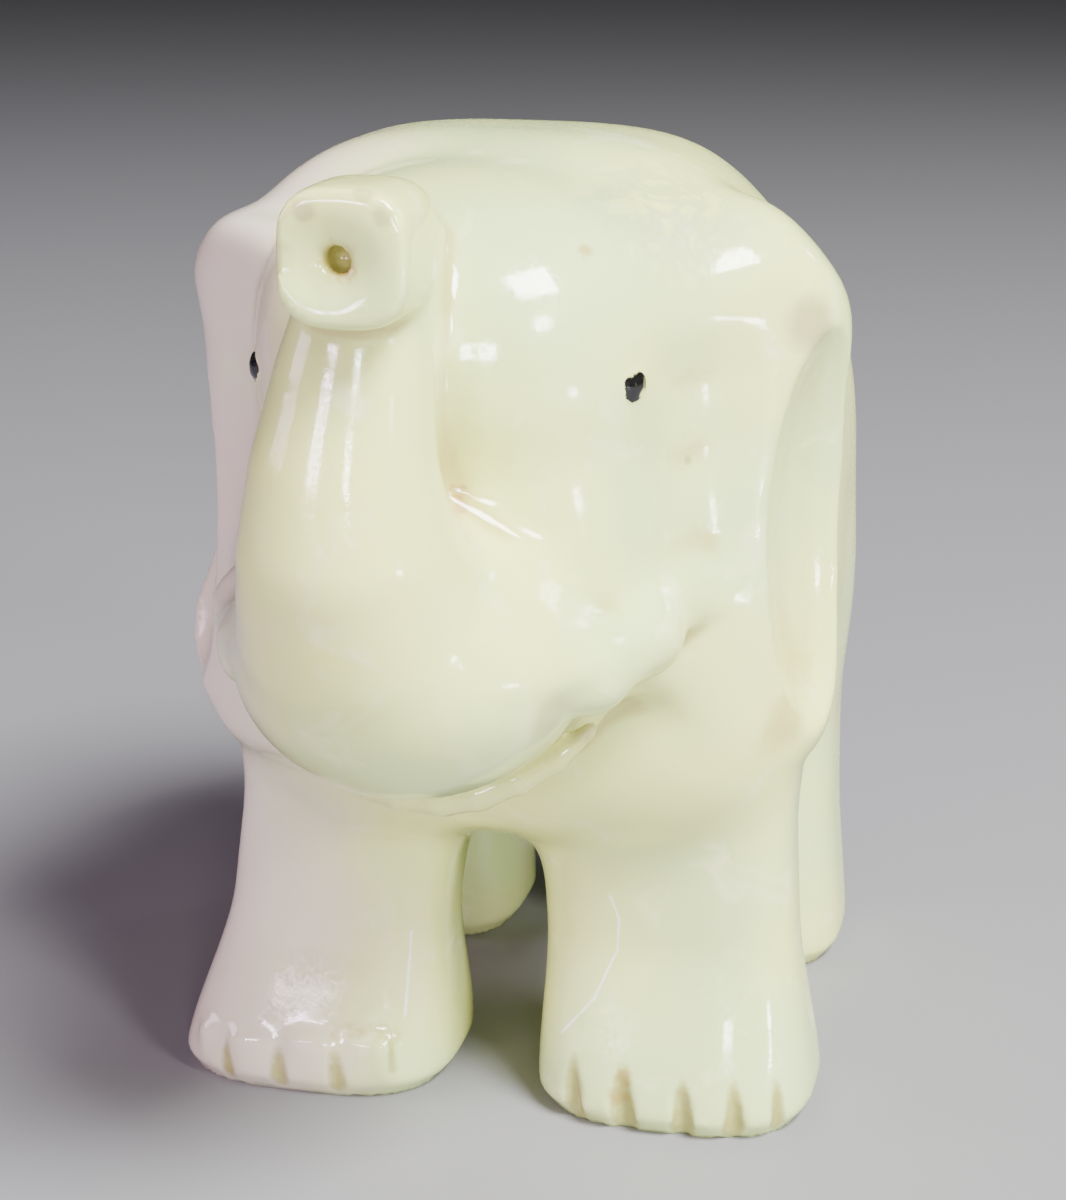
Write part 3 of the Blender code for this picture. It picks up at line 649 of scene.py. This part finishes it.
def stone(middle):
    material = bpy.data.materials.new("jade")
    material.use_nodes = True
    tree = material.node_tree
    shader = tree.nodes["Principled BSDF"]
    place = Field(tree, tree.nodes.new("ShaderNodeTexCoord").outputs["Object"])
    place = place.vector("ADD", (middle.x, middle.y, 0))
    hollow_node = tree.nodes.new("ShaderNodeAttribute")
    hollow_node.attribute_name = "hollow"
    hollow = Field(tree, hollow_node.outputs["Fac"])

    clouds = ramp(noise(place, 18 * MM, 2.0), 0.38, 0.66, 0.0, 1.0)
    colour = mixed(tree, clouds, CREAM, PALE_GREEN)
    patches = ramp(noise(place, 5 * MM, 3.0, 0.6, 0.8), 0.56, 0.74, 0.0, 0.75)
    colour = mixed(tree, patches, colour, CLOUD)
    x, y, z = place.parts()
    # Painted light: the stone is tinted lilac towards its right side (-X), standing in for lilac light
    # falling from that side.
    painted_lilac_light = ramp(x + (noise(place, 9 * MM, 1.0) - 0.5) * (14 * MM), -2 * MM, -16 * MM, 0.0, 0.85)
    colour = mixed(tree, painted_lilac_light, colour, LILAC_LIGHT)
    wisps = noise(place, 4.5 * MM, 3.0, 0.55, 1.4) - 0.5
    wisps = ramp(wisps.math("ABSOLUTE"), 0.0, 0.14, 1.0, 0.0)
    veins = wisps * spot(place, VEINS_AT, VEINS_REACH, 0.0, wisps) * 0.4
    colour = mixed(tree, veins, colour, VEIN)
    wobble = noise(place, 0.9 * MM, 3.0, 0.65)
    # Ochre laid into hollows and creases by their depth: partly the brown staining the stone has there,
    # partly painted shade darkening the recesses.
    crevice_stain_and_shade = ramp(hollow + (wobble - 0.5) * (0.06 * MM), 0.10 * MM, 0.30 * MM, 0.0, 0.7)
    colour = mixed(tree, crevice_stain_and_shade, colour, OCHRE)
    for at, reach, tint, strength in STAINS_AND_SHADE:
        colour = mixed(tree, spot(place, at, reach, 0.8 * MM, wobble) * strength, colour, tint)
    for start, end, reach, tint, strength in STREAKS:
        mark = stroke_mark(place, start, end, reach, wobble, 1.2 * MM)
        colour = mixed(tree, mark * strength, colour, tint)
    # Painted shade along the crease of the mouth, with the brown tint the stone has in it.
    for (start, _), (end, _) in zip(MOUTH_CREASE, MOUTH_CREASE[1:]):
        mark = stroke_mark(place, start, end, 1.1 * MM, wobble, 0.8 * MM)
        colour = mixed(tree, mark * 0.5, colour, EARTH_AND_SHADE)
    for top, foot, top_radius, foot_radius in FRONT_TOE_GROOVES:
        inside = stroke(place, top, foot, top_radius, foot_radius) + (wobble - 0.5) * (0.3 * MM)
        colour = mixed(tree, ramp(inside, 0.3 * MM, -0.1 * MM, 0.0, 0.8), colour, OLIVE)
    eye_gap = eye(mirrored(place)) + (wobble - 0.5) * (0.45 * MM)
    paint = ramp(eye_gap, 0.10 * MM, 0.02 * MM, 0.0, 1.0)
    chip = spot(place, EYE_CHIP_AT, 0.42 * MM, 0.2 * MM, wobble)
    colour = mixed(tree, paint.math("SUBTRACT", chip).math("MAXIMUM", 0.0), colour, PAINT)
    # Painted highlights along the legs' facet edges, together with scratches, laid on from the front.
    scratch_and_glint = None
    in_front = combined(x, y * 0.0, z)
    for path in SCRATCHES_AND_GLINTS:
        for start, end in zip(path, path[1:]):
            mark = stroke_mark(in_front, start, end, 0.14 * MM, wobble, 0.2 * MM)
            scratch_and_glint = mark if scratch_and_glint is None else scratch_and_glint.math("MAXIMUM", mark)
    scratch_and_glint = scratch_and_glint * ramp(y, -3 * MM, -5 * MM, 0.0, 1.0)
    colour = mixed(tree, scratch_and_glint * 0.8, colour, SCRATCH_AND_GLINT_WHITE)
    tree.links.new(colour.socket, shader.inputs["Base Color"])

    scuff = noise(place, 0.3 * MM, 2.0, 0.7)
    worn = ramp(noise(place, 6 * MM, 1.0), 0.4, 0.6, 0.0, 1.0)
    gloss = ramp(scuff, 0.46, 0.58, 0.05, 0.18) + worn * 0.04
    tree.links.new(gloss.socket, shader.inputs["Roughness"])
    grain = noise(place, 0.25 * MM, 2.0, 0.7) * 0.12 + noise(place, 2.2 * MM, 1.0)
    bump = tree.nodes.new("ShaderNodeBump")
    bump.inputs["Strength"].default_value = 0.5
    bump.inputs["Distance"].default_value = 0.04 * MM
    tree.links.new(grain.socket, bump.inputs["Height"])
    tree.links.new(bump.outputs[0], shader.inputs["Normal"])
    shader.subsurface_method = "BURLEY"
    shader.inputs["Subsurface Weight"].default_value = 0.3
    shader.inputs["Subsurface Scale"].default_value = 0.9 * MM
    shader.inputs["Subsurface Radius"].default_value = (1.0, 1.0, 0.7)
    shader.inputs["IOR"].default_value = 1.6
    return material


def floor():
    """A wide pale worktop."""
    mesh = bpy.data.meshes.new("floor")
    mesh.from_pydata([(x, y, 0) for x, y in ((-3, -3), (3, -3), (3, 3), (-3, 3))], [], [(0, 1, 2, 3)])
    ground = bpy.data.objects.new("floor", mesh)
    bpy.context.scene.collection.objects.link(ground)
    material = bpy.data.materials.new("pale_floor")
    material.use_nodes = True
    shader = material.node_tree.nodes["Principled BSDF"]
    shader.inputs["Base Color"].default_value = (0.23, 0.23, 0.24, 1)
    shader.inputs["Roughness"].default_value = 0.6
    mesh.materials.append(material)


def lamp(name, azimuth, elevation, distance, size, power, colour=(1, 1, 1)):
    """A soft panel that faces the figure. Azimuth 0 is in front of it, 90 at its left side."""
    turn, rise = math.radians(azimuth), math.radians(elevation)
    away = Vector((math.sin(turn) * math.cos(rise), -math.cos(turn) * math.cos(rise), math.sin(rise)))
    light = bpy.data.lights.new(name, "AREA")
    light.shape = "RECTANGLE"
    light.size, light.size_y = size
    light.energy = power
    light.color = colour
    panel = bpy.data.objects.new(name, light)
    panel.location = Vector((0, 0, 0.035)) + away * distance
    panel.rotation_euler = away.to_track_quat("Z", "Y").to_euler()
    bpy.context.scene.collection.objects.link(panel)


def studio():
    world = bpy.data.worlds.new("studio")
    bpy.context.scene.world = world
    world.use_nodes = True
    backdrop = world.node_tree.nodes["Background"]
    backdrop.inputs["Color"].default_value = (0.92, 0.96, 1, 1)
    backdrop.inputs["Strength"].default_value = 0.05
    lamp("key", 58, 54, 0.6, (0.24, 0.22), 14)
    lamp("side", 52, 24, 0.6, (0.10, 0.10), 2.0)
    lamp("window", 66, -5, 0.3, (0.03, 0.02), 0.12)
    lamp("front", 18, 9, 0.5, (0.06, 0.08), 1.0)
    lamp("front_left", -20, 8, 0.5, (0.12, 0.05), 0.9, (1.0, 0.82, 1.0))
    lamp("left", -74, 18, 0.7, (0.30, 0.30), 2.4, (1.0, 0.68, 1.0))
    lamp("behind", 138, 26, 0.7, (0.08, 0.08), 0.3)


def camera():
    """The photograph's viewpoint."""
    lens = bpy.data.cameras.new("camera")
    lens.sensor_fit = "VERTICAL"
    lens.sensor_height = 36
    lens.lens = 78.06
    lens.clip_start = 0.01
    viewer = bpy.data.objects.new("camera", lens)
    turn, rise, roll = (math.radians(angle) for angle in (13.021, 16.577, 0.354))
    back = Vector((math.sin(turn) * math.cos(rise), -math.cos(turn) * math.cos(rise), math.sin(rise)))
    right = Vector((math.cos(turn), math.sin(turn), 0))
    up = back.cross(right)
    tilted_right = math.cos(roll) * right + math.sin(roll) * up
    tilted_up = math.cos(roll) * up - math.sin(roll) * right
    place = mm(0.997, 1.214, 33.036) + back * (173.97 * MM)
    viewer.matrix_world = Matrix((tilted_right, tilted_up, back)).transposed().to_4x4()
    viewer.matrix_world.translation = place
    bpy.context.scene.collection.objects.link(viewer)
    bpy.context.scene.camera = viewer


def main():
    figure, middle = carved_elephant()
    figure.data.materials.append(stone(middle))
    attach(figure, "root")
    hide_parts("elephant")
    floor()
    studio()
    camera()


main()
